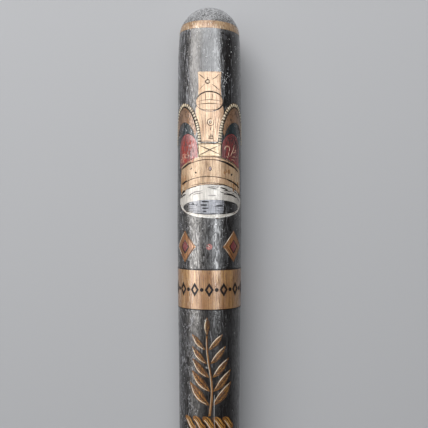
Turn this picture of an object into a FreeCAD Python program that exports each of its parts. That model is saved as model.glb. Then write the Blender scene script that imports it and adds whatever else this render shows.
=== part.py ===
import FreeCAD, Part
import math
import os
from FreeCAD import Base, Vector

# Painted wooden truncheon of the Victorian kind: one turned billet of hardwood, ebonised and varnished,
# with a crown, a band, a spray and a wreath painted and gilded round its barrel in thin layers.
# It lies along +Y with its tip at +Y and its painted face up. Millimetres.

# ------------------------------------------------------------ driving dimensions of the turned wood

pommel_length = 27.0        # round knob at the butt
pommel_d = 35.0
butt_flat_d = 17.0          # flat left where the billet was cut off
neck_d = 27.0               # between the pommel and the first rib of the grip
thong_hole_d = 6.0          # drilled across the pommel for a wrist thong
thong_hole_y = 14.5         # from the butt

grip_length = 107.0
grip_d = 30.0               # over the ribs at either end of the grip
grip_swell = 1.6            # how much thicker the grip is at its middle
rib_count = 11
rib_depth = 1.3

collar_length = 8.0         # half-round bead between grip and barrel
collar_d = 36.0
cove_length = 10.0          # hollow that rises from the collar to the barrel
cove_rise = 3.2

throat_d = 38.8             # barrel at its lower end
belly_d = 42.0              # barrel at its widest
shoulder_d = 41.2           # barrel where the tip begins to round over
tip_length = 41.0
tip_draw = 1.8              # how much slimmer the tip's dome is than the shoulder
tip_dome_lead = 5.0         # degrees past the dome's widest place where the side flows into it

# ------------------------------------------------------------ driving dimensions of the painting
# Its rows are stacked along the barrel, from the grip towards the tip.

paint_thickness = 0.12
paint_gap = 0.3             # black ground left showing between two fields
cut_tolerance = 1e-4        # for cuts along the surface of the wood

foot_gap = 21.0             # bare barrel below the wreath
wreath_height = 8.4
wreath_width = 38.0
wreath_bow = 1.6            # how far the wreath's middle stands above its ends
wreath_lobes = 5
wreath_slant = 2.8          # how far the top of each strand leans to the left
wreath_fullness = 0.7       # 1 makes each strand an oval, and less makes it squarer

spray_height = 62.0
spray_stem_d = 1.5          # width of the stem at its foot
spray_stem_top_d = 0.8
spray_sway = 1.6            # how far the stem swings to either side
leaf_pairs = 5
leaf_length = 19.0
leaf_width = 5.6
leaf_angle = 50.0           # degrees between a leaf's foot and the stem
leaf_bend = 0.12            # how far a leaf curls up along the stem, against its length
leaf_taper = 0.6            # size of the topmost leaf against the lowest
bare_stem = 7.0             # stem below the lowest leaves

spray_gap = 5.3             # bare barrel between the spray and the band
band_width = 24.4
lozenge_height = 8.8
lozenge_width = 5.6
lozenge_stroke = 1.3
lozenge_count = 9
lozenge_pitch = 9.4
band_dot_d = 2.4
band_gap = 4.8

device_height = 20.0
device_width = 17.0
device_stroke = 3.6
device_core_height = 7.0
device_offset = 17.3        # from the top line to the middle of each device
stop_d = 3.8

belly_gap = 3.5             # from the devices up to the belly
ring_gap = 4.4              # from the belly up to the ermine ring
ring_height = 21.0
ring_width = 49.6
ring_lip = 2.2              # white left below the dark opening seen inside the ring
ring_face = 9.4             # white above the opening
ring_end_wall = 4.1         # white at either end of the opening
circlet_height = 17.9
circlet_inset = 1.8         # how far its ends stand in from the ring's
circlet_sweep = 36.0        # radius of the circlet's bowed upper edge
brow_height = 8.1
centre_arch_height = 20.0
centre_arch_head_span = 132.0   # degrees round the orb that the arch's head covers
centre_arch_parting = 132.0     # degrees round a side arch where the centre arch leaves it for the orb
centre_arch_lift = 0.9      # from the brow panel up to the arch's foot
orb_height = 12.5
orb_width = 17.5
cross_height = 12.4
cross_width = 15.0
cross_waist = 14.1          # halfway up
cross_foot_span = 110.0     # degrees round the orb that the cross's foot covers
crown_gap = 4.7             # bare barrel between the cross and the shoulder

pearl_d = 2.0
pearl_rise = 0.25           # a pearl is a drop of thick paint
pearl_count = 24            # along each side arch
side_arch_offset = 18.6     # from the crown's middle line to the middle of each side arch
side_arch_width = 24.0      # over the middle line of its pearls
side_arch_rise = 25.0
side_arch_field = 11.0      # breadth of the gilt field at the top of the arch
side_arch_mouth = 19.0      # width of the gap under the arch
side_arch_foot = 18.0       # degrees round the arch where its field ends, on the outside
side_arch_foot_inside = 20.0
cap_offset = 15.5           # from the crown's middle line to the middle of each half of the cap
cap_width = 15.4
cap_crown = 10.0            # height of the cap's rounded top

crown_aside = 0.3           # the crown is painted a little to the right of the top line
ring_aside = 1.5            # and its ring a little further over

tip_band_width = 4.9
tip_band_y = 4.2            # from the middle of the tip's dome up to the middle of its band
tip_band_slant = 2.0        # degrees: the band is drawn a little askew

# ------------------------------------------------------------ stations, from the butt

grip_start = pommel_length
grip_end = grip_start + grip_length
collar_end = grip_end + collar_length
barrel_start = collar_end + cove_length
wreath_start = barrel_start + foot_gap
wreath_end = wreath_start + wreath_height + wreath_bow
spray_end = wreath_end + spray_height
band_start = spray_end + spray_gap
band_end = band_start + band_width
device_start = band_end + band_gap
device_end = device_start + device_height
belly_y = device_end + belly_gap
ring_start = belly_y + ring_gap
ring_end = ring_start + ring_height
circlet_end = ring_end + circlet_height
brow_end = circlet_end + brow_height
centre_arch_end = brow_end + centre_arch_height
orb_end = centre_arch_end + orb_height
cross_end = orb_end + cross_height
shoulder_y = cross_end + crown_gap
overall_length = shoulder_y + tip_length
tip_dome_d = shoulder_d - tip_draw
dome_y = overall_length - tip_dome_d / 2

os.makedirs("parts", exist_ok=True)


def save(name, solids):
    """Writes one node, moved from the lathe's axis to the floor, with the origin below its middle."""
    shape = solids[0] if len(solids) == 1 else Part.makeCompound(solids)
    placed = shape.translated(Vector(0, -overall_length / 2, belly_d / 2))
    placed.exportStep("parts/" + name + ".step")


# ------------------------------------------------------------ turned body: one solid, revolved

def station(y, diameter):
    """A point of the turner's profile: distance from the butt, and the diameter there."""
    return Vector(0, y, diameter / 2)


def line(start, end):
    return Part.LineSegment(start, end).toShape()


def arc(start, middle, end):
    return Part.Arc(start, middle, end).toShape()


def sweep(start, corner, end):
    """A smooth edge that leaves start and reaches end along the lines to corner."""
    bezier = Part.BezierCurve()
    bezier.setPoles([start, corner, end])
    return bezier.toShape()


def pommel_edges():
    butt = station(0, butt_flat_d)
    fattest = station(thong_hole_y, pommel_d)
    neck = station(grip_start, neck_d)
    edges = [line(Vector(0, 0, 0), butt)]
    edges.append(sweep(butt, station(0, pommel_d), fattest))
    edges.append(sweep(fattest, station((thong_hole_y + 2 * grip_start) / 3, pommel_d), neck))
    edges.append(line(neck, station(grip_start, grip_over_ribs(grip_start) - 2 * rib_depth)))
    return edges


def grip_over_ribs(y):
    """The grip swells a little between its two ends."""
    return grip_d + grip_swell * math.sin(math.pi * (y - grip_start) / grip_length)


def rib_edges():
    """Shallow round ribs, cut side by side."""
    edges = []
    pitch = grip_length / rib_count
    for rib in range(rib_count):
        low = grip_start + pitch * rib
        high = low + pitch
        start = station(low, grip_over_ribs(low) - 2 * rib_depth)
        crest = station(low + pitch / 2, grip_over_ribs(low + pitch / 2))
        end = station(high, grip_over_ribs(high) - 2 * rib_depth)
        edges.append(arc(start, crest, end))
    return edges


def collar_edges():
    foot = station(grip_end, collar_d - collar_length)
    crest = station(grip_end + collar_length / 2, collar_d)
    top = station(collar_end, collar_d - collar_length)
    cove_foot = station(collar_end, throat_d - 2 * cove_rise)
    throat = station(barrel_start, throat_d)
    edges = [line(station(grip_end, grip_over_ribs(grip_end) - 2 * rib_depth), foot)]
    edges.append(arc(foot, crest, top))
    edges.append(line(top, cove_foot))
    edges.append(sweep(cove_foot, station(barrel_start, throat_d - 2 * cove_rise), throat))
    return edges


def barrel_edges():
    """Two long tapers that meet at the belly, then a shoulder that flows into the round tip."""
    belly = station(belly_y, belly_d)
    shoulder = station(shoulder_y, shoulder_d)
    lead = math.radians(tip_dome_lead)
    dome_start = dome_point(lead)
    taper = (shoulder.z - belly.z) / (shoulder.y - belly.y)
    fall = -math.tan(lead)
    rise_apart = dome_start.z - fall * dome_start.y - shoulder.z + taper * shoulder.y
    corner_y = rise_apart / (taper - fall)
    corner = Vector(0, corner_y, shoulder.z + taper * (corner_y - shoulder.y))
    edges = [line(station(barrel_start, throat_d), belly), line(belly, shoulder)]
    edges.append(sweep(shoulder, corner, dome_start))
    edges.append(arc(dome_start, dome_point((lead + math.pi / 2) / 2), dome_point(math.pi / 2)))
    edges.append(line(dome_point(math.pi / 2), Vector(0, 0, 0)))
    return edges


def dome_point(angle):
    """A point of the tip's round end, at an angle past its widest place."""
    return station(dome_y + tip_dome_d / 2 * math.sin(angle), tip_dome_d * math.cos(angle))


def turned_body():
    edges = pommel_edges() + rib_edges() + collar_edges() + barrel_edges()
    profile = Part.Face(Part.Wire(edges))
    lathe_axis = Vector(0, 1, 0)
    turned = profile.revolve(Vector(0, 0, 0), lathe_axis, 360)
    turned = turned.rotated(Vector(0, 0, 0), lathe_axis, 180)   # puts the seam underneath
    outside = Vector(-pommel_d, thong_hole_y, 0)
    drill = Part.makeCylinder(thong_hole_d / 2, 2 * pommel_d, outside, Vector(1, 0, 0))
    return turned.cut(drill).Solids[0]


save("turned_body", [turned_body()])


# ------------------------------------------------------------ how paint is laid on the barrel

class Wrap:
    """A taper of the barrel rolled out flat, to draw on: x runs round it from the top line, y along it.

    Each outline is a list of strokes that follow one another, and each stroke is a list of points:
    two for a straight stroke, more for a smooth one. An outline of one stroke is a smooth closed loop.
    """

    def __init__(self, y_low, d_low, y_high, d_high, lift=0, aside=0):
        self.aside = aside
        self.y_low = y_low
        self.r_low = d_low / 2
        self.taper = (d_high - d_low) / 2 / (y_high - y_low)
        self.slant = math.hypot(1, self.taper)
        raised = lift * self.slant
        underside = Part.LineSegment(
            Vector(0, y_low, -self.r_low - raised),
            Vector(0, y_high, -d_high / 2 - raised),
        )
        self.surface = Part.SurfaceOfRevolution(underside, Vector(0, 0, 0), Vector(0, 1, 0))
        self.face = self.surface.toShape()
        lathe_axis = Vector(0, 1, 0)
        self.wood = Part.makeCone(d_low / 2, d_high / 2, y_high - y_low, Vector(0, y_low, 0), lathe_axis)

    def spot(self, point):
        x, y = point
        radius = self.r_low + self.taper * (y - self.y_low)
        return Base.Vector2d(math.pi + (x + self.aside) / radius, (y - self.y_low) * self.slant)

    def edge(self, stroke, closed=False):
        spots = [self.spot(point) for point in stroke]
        if len(spots) == 2:
            return Part.Geom2d.Line2dSegment(spots[0], spots[1]).toShape(self.surface)
        drawn = [0]
        for start, end in zip(stroke, stroke[1:] + stroke[:closed]):
            drawn.append(drawn[-1] + math.dist(start, end))
        spline = Part.Geom2d.BSplineCurve2d()
        spline.interpolate(Points=spots, PeriodicFlag=closed, Parameters=drawn)
        return spline.toShape(self.surface)

    def wire(self, outline):
        closed = len(outline) == 1
        return Part.Wire([self.edge(stroke, closed) for stroke in outline])

    def paint(self, outline, *holes):
        """One layer of paint inside an outline, with bare places left in it."""
        wires = [self.wire(shape) for shape in (outline, *holes)]
        pieces = sorted(self.face.generalFuse(wires)[0].Faces, key=lambda face: face.Area)
        inside = [face for face in pieces[:-1] if len(face.Wires) == len(wires)]
        return inside[-1].makeOffsetShape(paint_thickness, 1e-3, fill=True)

    def hoop(self, y_from, y_to):
        """A layer of paint right round the barrel."""
        low = (y_from - self.y_low) * self.slant
        high = (y_to - self.y_low) * self.slant
        bare = self.surface.toShape(0, 2 * math.pi, low, high)
        return bare.makeOffsetShape(paint_thickness, 1e-3, fill=True)

    def drop(self, x, y, width, rise):
        """A round drop of thick paint: the cap of a ball sunk in the wood."""
        ball_d = width ** 2 / (4 * rise) + rise
        radius = self.r_low + self.taper * (y - self.y_low)
        turn = (x + self.aside) / radius
        outward = Vector(math.sin(turn), 0, math.cos(turn))
        middle = Vector(0, y, 0) + outward * (radius + rise - ball_d / 2)
        ball = Part.makeSphere(ball_d / 2, middle, outward)
        return ball.cut([self.wood], cut_tolerance).Solids[0]


lower = Wrap(barrel_start, throat_d, belly_y, belly_d)
upper = Wrap(belly_y, belly_d, shoulder_y, shoulder_d, aside=crown_aside)


def polygon(points):
    """Straight strokes through the points and back to the first."""
    return [[start, end] for start, end in zip(points, points[1:] + points[:1])]


def oval(x, y, width, height, points=12):
    turns = [2 * math.pi * step / points for step in range(points)]
    return [[(x + width / 2 * math.cos(turn), y + height / 2 * math.sin(turn)) for turn in turns]]


def bow(x, y, width, height, start, end, points=7):
    """A stroke along an oval, from one angle to another, in degrees."""
    turns = [math.radians(start + (end - start) * step / (points - 1)) for step in range(points)]
    return [(x + width / 2 * math.cos(turn), y + height / 2 * math.sin(turn)) for turn in turns]


def on_side(outline, side):
    """The outline as drawn for the right side, where side is 1, or mirrored to the left, where it is -1."""
    return [[(side * x, y) for x, y in stroke] for stroke in outline]


# ------------------------------------------------------------ gilt band round the tip

def tip_band():
    ball = Part.makeSphere(tip_dome_d / 2 + paint_thickness).cut(Part.makeSphere(tip_dome_d / 2))
    slab = Part.makeBox(2 * tip_dome_d, tip_band_width, 2 * tip_dome_d)
    slab.translate(Vector(-tip_dome_d, tip_band_y - tip_band_width / 2, -tip_dome_d))
    hoop = ball.common(slab).rotated(Vector(0, 0, 0), Vector(0, 0, 1), -tip_band_slant)
    return hoop.translated(Vector(0, dome_y, 0)).Solids[0]


save("tip_band", [tip_band()])


# ------------------------------------------------------------ crown: cross, orb and centre arch

orb_y = centre_arch_end + orb_height / 2


def orb_bow(start, end, clear):
    """A stroke round the orb, standing off it by clear."""
    return bow(0, orb_y, orb_width + 2 * clear, orb_height + 2 * clear, start, end)


def crown_cross():
    half = cross_width / 2
    foot = orb_bow(90 - cross_foot_span / 2, 90 + cross_foot_span / 2, paint_gap)
    waist = (cross_waist / 2, (foot[0][1] + cross_end) / 2)
    right_side = [(half, cross_end), waist, foot[0]]
    left_side = [(-x, y) for x, y in reversed(right_side)]
    return [foot, left_side, [left_side[-1], right_side[0]], right_side]


save("crown_cross", [upper.paint(crown_cross())])
save("crown_orb", [upper.paint(oval(0, orb_y, orb_width, orb_height))])


def side_bow(width, height, start, end):
    """A stroke along one of the ovals that all share the middle of the right-hand side arch."""
    return bow(side_arch_offset, brow_end, width, height, start, end)


def centre_arch():
    """The front arch stands between the two rows of pearls, and hangs from the orb."""
    head = orb_bow(centre_arch_head_span / 2 - 90, -centre_arch_head_span / 2 - 90, paint_gap)
    clear = pearl_d / 2 + paint_gap
    foot = 180 - math.degrees(math.asin(centre_arch_lift / (side_arch_rise + clear)))
    width = side_arch_width + 2 * clear
    right_side = side_bow(width, 2 * side_arch_rise + 2 * clear, foot, centre_arch_parting)
    right_side[-1] = head[0]
    left_side = [(-x, y) for x, y in reversed(right_side)]
    return [right_side, head, left_side, [left_side[-1], right_side[0]]]


save("crown_centre_arch", [upper.paint(centre_arch())])


# ------------------------------------------------------------ crown: side arches, pearls and cap

def side_arch():
    """A gilt crescent just inside the pearls, broad over the top and narrow at either foot."""
    inset = pearl_d + 2 * paint_gap
    foot = side_arch_foot
    outer = side_bow(side_arch_width - inset, 2 * side_arch_rise - inset, foot, 180 - foot)
    mouth_rise = side_arch_rise - side_arch_field
    foot = side_arch_foot_inside
    inner = side_bow(side_arch_mouth, 2 * mouth_rise, 180 - foot, foot)
    return [outer, [outer[-1], inner[0]], inner, [inner[-1], outer[0]]]


def circlet_top(x):
    return circlet_end - x * x / (2 * circlet_sweep)


def pearl_places():
    """Pearls spaced evenly over the arch, then down beside the brow panel to the circlet."""
    spots = side_bow(side_arch_width, 2 * side_arch_rise, 0, 180)
    path = Part.BSplineCurve()
    path.interpolate([Vector(x, y, 0) for x, y in spots])
    leg_x = side_arch_offset - side_arch_width / 2
    leg = brow_end - circlet_top(leg_x) - pearl_d
    pitch = (path.length() + leg) / pearl_count
    places = []
    for pearl in range(pearl_count):
        along = pitch * (pearl + 0.5)
        if along < path.length():
            place = path.value(path.parameterAtDistance(along))
            places.append((place.x, place.y))
        else:
            places.append((leg_x, brow_end - (along - path.length())))
    return places


def cap():
    """Half of the soft cap: a round-headed field that stands on the circlet."""
    half = cap_width / 2
    spring = circlet_top(cap_offset - half) + paint_gap
    head_y = spring + cap_crown / 2
    head = bow(cap_offset, head_y, cap_width, 2 * cap_crown, 0, 180)
    steps = [cap_offset - half + cap_width * step / 4 for step in range(5)]
    sill = [(x, circlet_top(x) + paint_gap) for x in steps]
    return [head, [head[-1], sill[0]], sill, [sill[-1], head[0]]]


for side_name, side in (("right", 1), ("left", -1)):
    save("crown_arch_" + side_name, [upper.paint(on_side(side_arch(), side))])
    save("crown_cap_" + side_name, [upper.paint(on_side(cap(), side))])
    pearls = [upper.drop(side * x, y, pearl_d, pearl_rise) for x, y in pearl_places()]
    save("crown_pearls_" + side_name, pearls)


# ------------------------------------------------------------ crown: brow panel, circlet and ermine ring

def brow_panel():
    """The panel between the feet of the arches, walled in by their pearls."""
    half = side_arch_offset - side_arch_width / 2 - pearl_d / 2 - paint_gap
    top = brow_end - 2 * paint_gap
    sill = [(x, circlet_top(x) + paint_gap) for x in (-half, 0, half)]
    return [sill, [sill[-1], (half, top)], [(half, top), (-half, top)], [(-half, top), sill[0]]]


ring_y = ring_start + ring_height / 2
mouth_y = (ring_start + ring_lip + ring_end - ring_face) / 2
mouth_height = ring_height - ring_lip - ring_face
mouth_width = ring_width - 2 * ring_end_wall


def ring_top(x, clear):
    """Upper outline of the ermine ring, standing off it by clear."""
    reach = ring_width / 2 + clear
    return ring_y + (ring_height / 2 + clear) * math.sqrt(1 - ((x - ring_aside) / reach) ** 2)


def circlet():
    half = ring_width / 2 - circlet_inset
    places = [ring_aside + half * step / 4 for step in range(-4, 5)]
    top = [(x, circlet_top(x)) for x in reversed(places)]
    bottom = [(x, ring_top(x, paint_gap)) for x in places]
    return [bottom, [bottom[-1], top[0]], top, [top[-1], bottom[0]]]


ring_outline = oval(ring_aside, ring_y, ring_width, ring_height, 16)
mouth_outline = oval(ring_aside, mouth_y, mouth_width, mouth_height, 16)
save("crown_brow_panel", [upper.paint(brow_panel())])
save("crown_circlet", [upper.paint(circlet())])
save("crown_ermine_ring", [upper.paint(ring_outline, mouth_outline)])


# ------------------------------------------------------------ devices on either side of a round stop

def lozenge(x, y, width, height):
    return polygon([(x + width / 2, y), (x, y + height / 2), (x - width / 2, y), (x, y - height / 2)])


def hollow(width, height, stroke):
    """Size of the opening that leaves a lozenge frame of even stroke: its width and height."""
    shrink = 1 - 2 * stroke * math.hypot(width, height) / (width * height)
    return width * shrink, height * shrink


device_y = (device_start + device_end) / 2
opening = hollow(device_width, device_height, device_stroke)
core_width = device_core_height * device_width / device_height
for side_name, side in (("right", 1), ("left", -1)):
    place = (side * device_offset, device_y)
    frame = lozenge(*place, device_width, device_height)
    save("side_device_" + side_name, [lower.paint(frame, lozenge(*place, *opening))])
    save("device_core_" + side_name, [lower.paint(lozenge(*place, core_width, device_core_height))])
save("centre_stop", [lower.paint(oval(0, device_y, stop_d, stop_d, 8))])


# ------------------------------------------------------------ gilt band and its chain of lozenges and dots

band_y = (band_start + band_end) / 2
save("middle_band", [lower.hoop(band_start, band_end)])

over_gilt = Wrap(barrel_start, throat_d, belly_y, belly_d, paint_thickness)
gap_in_lozenge = hollow(lozenge_width, lozenge_height, lozenge_stroke)
chain = []
for step in range(lozenge_count):
    x = (step - (lozenge_count - 1) / 2) * lozenge_pitch
    frame = lozenge(x, band_y, lozenge_width, lozenge_height)
    chain.append(over_gilt.paint(frame, lozenge(x, band_y, *gap_in_lozenge)))
    if step < lozenge_count - 1:
        chain.append(over_gilt.paint(oval(x + lozenge_pitch / 2, band_y, band_dot_d, band_dot_d, 8)))
save("band_chain", chain)


# ------------------------------------------------------------ leaf spray

def stem_x(y):
    """The stem swings once to either side on its way up."""
    return spray_sway * math.sin(2 * math.pi * (y - wreath_end) / spray_height)


stem_end = spray_end - leaf_taper * leaf_length
stem_foot = wreath_end + paint_gap
stem_left = []
stem_right = []
for step in range(7):
    y = stem_foot + (stem_end - stem_foot) * step / 6
    half = (spray_stem_d + (spray_stem_top_d - spray_stem_d) * step / 6) / 2
    stem_left.append((stem_x(y) - half, y))
    stem_right.append((stem_x(y) + half, y))
stem_outline = [stem_right, [stem_right[-1], stem_left[-1]], stem_left[::-1], [stem_left[0], stem_right[0]]]
save("spray_stem", [lower.paint(stem_outline)])


def leaf_edge(foot, angle, size, swell):
    """One edge of a pointed leaf, from its foot to its point; swell is -1 or 1 for the edge's side."""
    slope = math.radians(angle)
    curl = math.copysign(leaf_bend, angle) if angle else 0
    edge = []
    for step in range(5):
        share = step / 4
        along = leaf_length * size * share
        aside = swell * leaf_width * size / 2 * math.sin(math.pi * share) - curl * share * along
        across = along * math.sin(slope) + aside * math.cos(slope)
        edge.append((foot[0] + across, foot[1] + along * math.cos(slope) - aside * math.sin(slope)))
    return edge


def leaf(foot, angle, size):
    return [leaf_edge(foot, angle, size, 1), leaf_edge(foot, angle, size, -1)[::-1]]


lowest_pair = wreath_end + bare_stem
leaf_pitch = (stem_end - lowest_pair) / leaf_pairs
leaves = [leaf((stem_x(stem_end), stem_end + paint_gap), 0, leaf_taper)]
for pair in range(leaf_pairs):
    y = lowest_pair + leaf_pitch * pair
    for side in (-1, 1):
        foot = (stem_x(y) + side * (spray_stem_d / 2 + paint_gap), y)
        leaves.append(leaf(foot, side * leaf_angle, 1 + (leaf_taper - 1) * pair / leaf_pairs))
save("spray_leaves", [lower.paint(outline) for outline in leaves])


# ------------------------------------------------------------ twisted wreath under the spray

def strand(x, width):
    """One turn of the wreath's two twisted skeins: a plump lozenge that leans over its neighbour."""
    half = width / 2
    y = wreath_start + wreath_height / 2 + wreath_bow * (1 - (2 * x / wreath_width) ** 2)
    spots = []
    for step in range(12):
        turn = 2 * math.pi * step / 12
        rise = math.copysign(abs(math.sin(turn)) ** wreath_fullness, math.sin(turn))
        spots.append((x + half * math.cos(turn) - wreath_slant * rise, y + wreath_height / 2 * rise))
    return [spots]


strand_pitch = (wreath_width - 2 * wreath_slant) / wreath_lobes
strands = []
for lobe in range(wreath_lobes):
    x = (lobe - (wreath_lobes - 1) / 2) * strand_pitch
    strands.append(lower.paint(strand(x, strand_pitch - 2 * paint_gap)))
save("twisted_wreath", strands)
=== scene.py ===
import functools
import math
import random

import bpy
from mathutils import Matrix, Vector


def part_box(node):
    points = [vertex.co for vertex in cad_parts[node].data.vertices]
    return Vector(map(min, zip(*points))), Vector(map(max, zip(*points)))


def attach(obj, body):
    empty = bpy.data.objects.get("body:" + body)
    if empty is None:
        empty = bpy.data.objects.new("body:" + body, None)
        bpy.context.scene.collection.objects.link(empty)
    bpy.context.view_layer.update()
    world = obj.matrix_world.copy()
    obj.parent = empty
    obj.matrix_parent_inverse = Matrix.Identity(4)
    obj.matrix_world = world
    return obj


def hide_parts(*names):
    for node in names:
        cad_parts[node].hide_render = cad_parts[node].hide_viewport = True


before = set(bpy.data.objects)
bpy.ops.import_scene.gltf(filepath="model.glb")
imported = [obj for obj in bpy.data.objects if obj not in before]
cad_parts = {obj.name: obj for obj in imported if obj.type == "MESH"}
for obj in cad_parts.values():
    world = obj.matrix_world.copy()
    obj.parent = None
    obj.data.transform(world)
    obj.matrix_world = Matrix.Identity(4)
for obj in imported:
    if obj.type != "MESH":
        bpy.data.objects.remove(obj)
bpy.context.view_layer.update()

# Painted wooden truncheon. Metres, with the truncheon along +Y, its tip at +Y and its painted face up.


# ---- camera, table and lamps
# The camera looks straight down on the tip half, over a pale table. A soft box and a lamp beyond the tip
# light the colours. The other lamps stand for windows, and show only as bright stripes in the varnish.

low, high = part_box("turned_body")
axis_height = (low.z + high.z) / 2
butt_y = low.y

camera_aside = 0.003
camera_station = 0.3082
camera_height = 0.418
camera = bpy.data.objects.new("camera", bpy.data.cameras.new("camera"))
camera.data.sensor_width = 36
camera.data.lens = 53.4112
camera.data.shift_y = 0.007
camera.location = (camera_aside, butt_y + camera_station, axis_height + camera_height)
bpy.context.collection.objects.link(camera)
bpy.context.scene.camera = camera
bpy.context.scene.view_settings.view_transform = "Standard"


def new_material(name, values):
    """A material, its node tree and its shader, with the values that are the same all over the surface."""
    made = bpy.data.materials.new(name)
    made.use_nodes = True
    shader = made.node_tree.nodes["Principled BSDF"]
    for socket, value in values.items():
        shader.inputs[socket].default_value = value
    return made, made.node_tree, shader


bpy.ops.mesh.primitive_plane_add(size=4)
table = bpy.context.object
table.name = "table"
pale_grey = {"Base Color": (0.54, 0.545, 0.56, 1), "Roughness": 0.8, "Specular IOR Level": 0}
table.data.materials.append(new_material("table_top", pale_grey)[0])


def hang_lamp(name, across, along, energy, place, turns):
    """A flat lamp, so many metres across and along, at its place and turned from facing straight down."""
    light = bpy.data.lights.new(name, "AREA")
    light.shape = "RECTANGLE"
    light.size = across
    light.size_y = along
    light.energy = energy
    hung = bpy.data.objects.new(name, light)
    hung.location = place
    hung.rotation_euler = turns
    bpy.context.collection.objects.link(hung)
    return hung


def lamp_along(name, angle, distance, across, start, end, brightness):
    """A lamp that faces the truncheon from start to end, at an angle round it from straight overhead."""
    turn = math.radians(angle)
    place = (distance * math.sin(turn), (start + end) / 2, axis_height + distance * math.cos(turn))
    energy = brightness * math.pi * across * (end - start)
    return hang_lamp(name, across, end - start, energy, place, (0, turn, 0))


soft_box = lamp_along("soft_box", -14, 1.3, 2.4, -0.24, 1.3, 0.9)
soft_box.visible_glossy = False
beyond_tip_turns = (math.radians(-54), 0, math.radians(19))
hang_lamp("beyond_tip", 1.5, 1.2, 25, (-0.45, 1.4, 1.0), beyond_tip_turns)

window_distance = 0.9
warm = (1, 0.97, 0.94)
cool = (0.95, 0.975, 1)
for name, angle, across, start, end, brightness, tint in (
    ("left_window", -54, 0.64, -0.12, 0.28, 12, warm),
    ("left_window_by_tip", -54, 0.64, 0.28, 0.9, 8.5, warm),
    ("left_window_far_end", -54, 0.64, -0.6, -0.12, 2.8, warm),
    ("right_strip", 25, 0.4, -0.115, 0.75, 11, cool),
    ("over_tip", -8, 0.62, 0.12, 0.95, 7.5, cool),
):
    window = lamp_along(name, angle, window_distance, across, start, end, brightness)
    window.data.color = tint
    window.visible_diffuse = False

room = bpy.data.worlds.new("room")
room.use_nodes = True
room.node_tree.nodes["Background"].inputs["Color"].default_value = (0.93, 0.96, 1, 1)
room.node_tree.nodes["Background"].inputs["Strength"].default_value = 0.12
bpy.context.scene.world = room


# ---- turned billet
# One piece of close-grained hardwood turned between centres, stained black and varnished. The old
# varnish is hazy, crazed, scratched along the grain and chipped. The tip is a dull grey, partly knocked
# wear and partly a painted reflection of a bright window beyond it. The haze thins towards the grip, a
# painted shade that darkens the lower barrel.

pommel_length = 0.027
pommel_radius = 0.0175
butt_flat_radius = 0.0085
neck_radius = 0.0135
thong_hole_radius = 0.003
thong_hole_from_butt = 0.0145
drill_length = 0.06
grip_length = 0.107
grip_radius = 0.015
grip_swell = 0.0008
rib_count = 11
rib_depth = 0.0013
collar_length = 0.008
collar_radius = 0.018
cove_length = 0.01
cove_rise = 0.0032
throat_radius = 0.0194
belly_radius = 0.021
belly_from_butt = 0.303
shoulder_radius = 0.0206
shoulder_from_butt = 0.404
shoulder_corner = (0.4164, 0.02055)
dome_radius = 0.0197
dome_lead = math.radians(5)
dome_steps = 24
facets_round = 160
merge_distance = 1e-6

grip_end = pommel_length + grip_length
collar_end = grip_end + collar_length
barrel_start = collar_end + cove_length
dome_from_butt = high.y - butt_y - dome_radius

# Where the haze thins towards the grip: painted shade that darkens the lower barrel.
shaded_haze_to = 0.2
unshaded_haze_from = 0.29
crazed_to = 0.378
sounder_from = 0.398
tip_grey_from = dome_from_butt - 0.002
tip_grey_full_from = dome_from_butt + 0.012


def sweep(start, corner, end, steps=10):
    """Points of a smooth edge that leaves start and reaches end along the lines to corner."""
    points = []
    for step in range(steps + 1):
        t = step / steps
        shares = ((1 - t) ** 2, 2 * t * (1 - t), t * t)
        points.append([sum(map(math.prod, zip(shares, corners))) for corners in zip(start, corner, end)])
    return points


def bead(start, end, radius, depth, steps=8):
    """Points of a round bead between two stations, which stands depth above radius."""
    ball = ((end - start) ** 2 / 4 + depth ** 2) / (2 * depth)
    points = []
    for step in range(steps + 1):
        along = (end - start) * (step / steps - 0.5)
        points.append(((start + end) / 2 + along, radius + depth - ball + math.sqrt(ball ** 2 - along ** 2)))
    return points


def billet_profile():
    """Points from the middle of the butt to the middle of the tip: distance from the butt, and radius."""
    fattest = (thong_hole_from_butt, pommel_radius)
    knob_corner = ((thong_hole_from_butt + 2 * pommel_length) / 3, pommel_radius)
    points = [(0, 0), (0, butt_flat_radius / 2)]
    points += sweep((0, butt_flat_radius), (0, pommel_radius), fattest)
    points += sweep(fattest, knob_corner, (pommel_length, neck_radius))[1:]
    pitch = grip_length / rib_count
    for rib in range(rib_count):
        middle = pitch * (rib + 0.5)
        crest = grip_radius + grip_swell * math.sin(math.pi * middle / grip_length)
        start = pommel_length + pitch * rib
        points += bead(start, start + pitch, crest - rib_depth, rib_depth)[rib > 0:]
    points += bead(grip_end, collar_end, collar_radius - collar_length / 2, collar_length / 2)
    cove_foot = (collar_end, throat_radius - cove_rise)
    points += sweep(cove_foot, (barrel_start, throat_radius - cove_rise), (barrel_start, throat_radius))
    points += [(belly_from_butt, belly_radius)]
    shoulder = (shoulder_from_butt, shoulder_radius)
    turns = [dome_lead + (math.pi / 2 - dome_lead) * step / dome_steps for step in range(dome_steps + 1)]
    dome = [(dome_from_butt + dome_radius * math.sin(turn), dome_radius * math.cos(turn)) for turn in turns]
    return points + sweep(shoulder, shoulder_corner, dome[0]) + dome[1:]


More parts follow.
